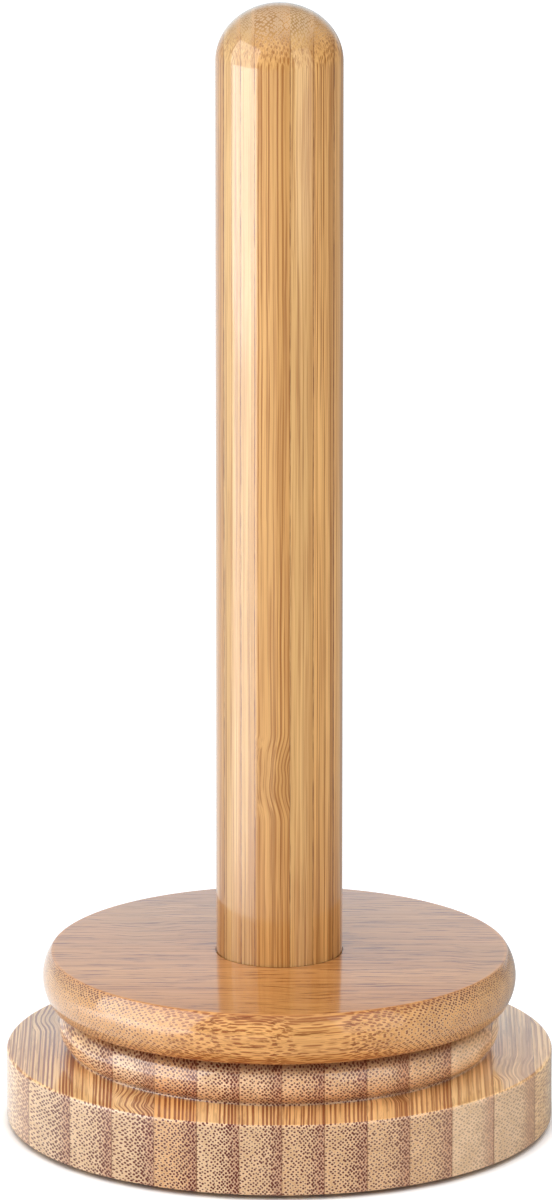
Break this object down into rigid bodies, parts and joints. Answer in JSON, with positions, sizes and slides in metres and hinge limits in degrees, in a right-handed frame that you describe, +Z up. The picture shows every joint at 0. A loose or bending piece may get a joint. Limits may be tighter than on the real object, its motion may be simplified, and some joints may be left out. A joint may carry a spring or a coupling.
{
  "type": "paper towel holder",
  "caption": "Free-standing bamboo paper towel holder: an upright round-topped post on a disc that turns over a heavier stepped round base.",
  "frame": {"origin": "on the turning axis, at the level the rubber pads stand on", "axes": "+Z up along the post and turning axis, +X to the right of a person facing the holder, -Y towards that person"},
  "size_m": [0.15, 0.15, 0.3129],
  "materials": {
    "bamboo": "clear satin-gloss lacquer over laminated bamboo",
    "aluminium": "machined, lightly satin",
    "steel": "bright zinc on the screws and washer, polished on the balls",
    "nylon": "natural, moulded",
    "rubber": "matt black"
  },
  "bodies": {
    "stand": {"base": "bamboo", "pad_1": "rubber", "pad_2": "rubber", "pad_3": "rubber", "pad_4": "rubber", "outer_race": "aluminium", "outer_race_screw_1": "steel", "outer_race_screw_2": "steel", "outer_race_screw_3": "steel", "outer_race_screw_4": "steel"},
    "turntable": {"disc": "bamboo", "post": "bamboo", "inner_race": "aluminium", "inner_race_screw_1": "steel", "inner_race_screw_2": "steel", "inner_race_screw_3": "steel", "inner_race_screw_4": "steel", "post_screw": "steel", "post_washer": "steel"},
    "ball_train": {"ball_cage": "nylon", "ball_01": "steel", "ball_02": "steel", "ball_03": "steel", "ball_04": "steel", "ball_05": "steel", "ball_06": "steel", "ball_07": "steel", "ball_08": "steel", "ball_09": "steel", "ball_10": "steel", "ball_11": "steel", "ball_12": "steel", "ball_13": "steel", "ball_14": "steel", "ball_15": "steel", "ball_16": "steel"}
  },
  "joints": [
    {"name": "turntable_spin", "type": "hinge", "parent": "stand", "child": "turntable", "pos_m": [0, 0, 0.0336], "axis": [0, 0, 1], "continuous": true},
    {"name": "ball_orbit", "type": "hinge", "parent": "stand", "child": "ball_train", "pos_m": [0, 0, 0.0336], "axis": [0, 0, 1], "continuous": true}
  ],
  "couplings": [
    {"joint": "ball_orbit", "follows": "turntable_spin", "ratio": 0.479}
  ]
}
